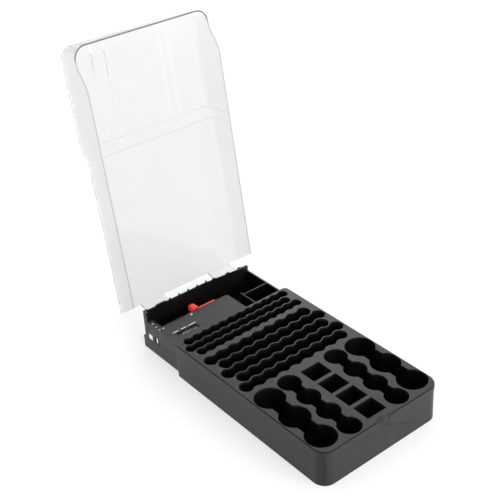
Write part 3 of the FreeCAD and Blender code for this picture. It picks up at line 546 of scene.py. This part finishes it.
carried = {
    "weld": 0.000005,
    "flatAngle": math.radians(0.3),
    "sharpAngle": math.radians(32),
    "segments": 2,
    "clamp": True,
}
rounding = {
    "large_cell_tray": 0.0005,
    "aa_cell_tray": 0.0002,
    "aaa_cell_tray": 0.0002,
    "tester_bay": 0.0003,
    "lid_cover": 0.0004,
    "tester_bottom_shell": 0.0003,
    "tester_top_shell": 0.0004,
    "gauge_window": 0.0,
    "slider_knob": 0.0022,
    "arm_contact": 0.00012,
    "slider_contact": 0.00012,
    "snap_plate": 0.00012,
    "snap_blade": 0.00012,
    "hinge_pins": 0.0002,
}
pieces = {}
for node, width in rounding.items():
    pieces[node] = carryOver(node, dict(carried, round=width))
print("carried over:", len(pieces), "nodes")


# The lid's rim faces, which point down when it is shut, get a darker material with painted shade,
# and so do the edges of the notch between its hinge tabs
def paintRimShade(piece, values):
    turn = Matrix.Rotation(math.radians(lidPlastic["turn"]), 3, "X")
    hinge = Vector(lidPlastic["hinge"])
    piece.data.materials.append(rimShadeMaterial)
    for face in piece.data.polygons:
        place = turn @ (face.center - hinge) + hinge
        normal = turn @ face.normal
        outer = place.y < values["rear"] and place.z < values["top"]
        rim = -normal.z > values["slope"] and outer
        between = values["notchLeft"] < place.x < values["notchRight"]
        notch = normal.y > values["slope"] and place.y > values["rear"] and between
        if rim or notch:
            face.material_index = 1


rimShadeFaces = {
    "slope": 0.6,
    "top": 0.038,
    "rear": 0.155,
    "notchLeft": -0.04,
    "notchRight": 0.015,
}
paintRimShade(pieces["lid_cover"], rimShadeFaces)
# the bay gets the plastic with painted shade
pieces["tester_bay"].data.materials[0] = bayShadeMaterial


# Printed marks: thin flat bars and dots on top of the tester
def printedMarks(name, values):
    net = bmesh.new()
    for x, y, length, width, turn in values["bars"]:
        turned = Matrix.Rotation(math.radians(turn), 4, "Z")
        size = Matrix.Diagonal((length, width, values["thickness"], 1.0))
        centre = Matrix.Translation((x, y, values["top"]))
        bmesh.ops.create_cube(net, size=1.0, matrix=centre @ turned @ size)
    for x, y, radius in values["dots"]:
        bmesh.ops.create_cone(
            net,
            cap_ends=True,
            segments=values["dotSegments"],
            radius1=radius,
            radius2=radius,
            depth=values["thickness"],
            matrix=Matrix.Translation((x, y, values["top"])),
        )
    smoothFaces(net, carried["sharpAngle"])
    finishedObject(name, net, inkMaterial, "tester")


# Each bar is x, y, length, width and turn in degrees, and each dot x, y and radius
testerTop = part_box("tester_top_shell")[1].z
captionBars = {
    "top": testerTop,
    "thickness": 0.00008,
    "bars": [
        (-0.0667, 0.1125, 0.0080, 0.0013, 0),
        (-0.0552, 0.1125, 0.0075, 0.0013, 0),
        (-0.0429, 0.1125, 0.0105, 0.0013, 0),
    ],
    "dots": [],
    "dotSegments": 32,
}
armMarks = dict(
    captionBars,
    bars=[
        (-0.0775, 0.1442, 0.0030, 0.0012, 0),
        (-0.0775, 0.1442, 0.0012, 0.0030, 0),
        (-0.0779, 0.1362, 0.0030, 0.0012, 0),
        (-0.0782, 0.1291, 0.0026, 0.0014, 0),
        (-0.0731, 0.1282, 0.0026, 0.0014, 0),
    ],
    dots=[(-0.0315, 0.1287, 0.0014)],
)
printedMarks("caption_bars", captionBars)
printedMarks("arm_marks", armMarks)
print("printed marks made")


# A pale floor with a glow of its own, which keeps it white and leaves a faint shadow
def stageMaterial(name, values):
    paint = Paint(name)
    return paint.finish(
        {
            "Base Color": grey(values["colour"]),
            "Roughness": 1.0,
            "Specular IOR Level": 0.0,
            "Emission Color": grey(1.0),
            "Emission Strength": values["glow"],
        }
    )


stageValues = {
    "floorSize": 12.0,
    "colour": 0.55,
    "glow": 0.48,
    "worldLevel": 0.9,
}
net = bmesh.new()
bmesh.ops.create_grid(net, x_segments=1, y_segments=1, size=stageValues["floorSize"] / 2)
floorMesh = bpy.data.meshes.new("floor")
net.to_mesh(floorMesh)
net.free()
floorMesh.materials.append(stageMaterial("floor_look", stageValues))
floor = bpy.data.objects.new("floor", floorMesh)
bpy.context.scene.collection.objects.link(floor)

# The world lights the object a little below white, but is white where it is seen,
# be it straight on, in a reflection or through the lid
world = bpy.data.worlds.new("studio")
bpy.context.scene.world = world
world.use_nodes = True
worldNodes = world.node_tree.nodes
worldLinks = world.node_tree.links
background = worldNodes["Background"]
background.inputs["Color"].default_value = grey(1.0)
rays = worldNodes.new("ShaderNodeLightPath")
strength = None
for kind in ("Is Camera Ray", "Is Glossy Ray", "Is Transmission Ray"):
    whiter = worldNodes.new("ShaderNodeMath")
    whiter.operation = "MULTIPLY_ADD"
    whiter.inputs[1].default_value = 1.0 - stageValues["worldLevel"]
    whiter.inputs[2].default_value = stageValues["worldLevel"]
    worldLinks.new(rays.outputs[kind], whiter.inputs[0])
    if strength:
        worldLinks.new(strength, whiter.inputs[2])
    strength = whiter.outputs[0]
worldLinks.new(strength, background.inputs["Strength"])


def softbox(name, values):
    light = bpy.data.lights.new(name, "AREA")
    light.shape = "RECTANGLE"
    light.size = values["width"]
    light.size_y = values["height"]
    light.energy = values["power"]
    holder = bpy.data.objects.new(name, light)
    bpy.context.scene.collection.objects.link(holder)
    holder.location = values["place"]
    sight = Vector(values["aim"]) - Vector(values["place"])
    holder.rotation_euler = sight.to_track_quat("-Z", "Y").to_euler()


frontSoftbox = {
    "place": (0.2, -1.7, 0.8),
    "aim": (0, 0, 0.05),
    "width": 1.6,
    "height": 1.0,
    "power": 18.0,
}
rearSoftbox = dict(frontSoftbox, place=(1.4, 1.75, 0.8), width=1.4, power=12.0)
softbox("front_softbox", frontSoftbox)
softbox("rear_softbox", rearSoftbox)

# The camera: azimuth and elevation of the line of sight, and the roll about it
cameraValues = {
    "place": (-0.5895, -0.7241, 0.7490),
    "azimuth": -37.418,
    "elevation": 31.480,
    "roll": 3.359,
    "lens": 73.81,
    "sensor": 36.0,
}
azimuth = math.radians(cameraValues["azimuth"])
elevation = math.radians(cameraValues["elevation"])
back = Vector(
    (
        math.sin(azimuth) * math.cos(elevation),
        -math.cos(azimuth) * math.cos(elevation),
        math.sin(elevation),
    )
)
right = Vector((math.cos(azimuth), math.sin(azimuth), 0))
upright = Matrix((right, back.cross(right), back)).transposed()
turned = upright @ Matrix.Rotation(-math.radians(cameraValues["roll"]), 3, "Z")
camera = bpy.data.objects.new("camera", bpy.data.cameras.new("camera"))
bpy.context.scene.collection.objects.link(camera)
camera.data.lens = cameraValues["lens"]
camera.data.sensor_width = cameraValues["sensor"]
camera.location = cameraValues["place"]
camera.rotation_euler = turned.to_euler()
bpy.context.scene.camera = camera
bpy.context.scene.view_settings.view_transform = "Standard"
print("stage, lights and camera placed")
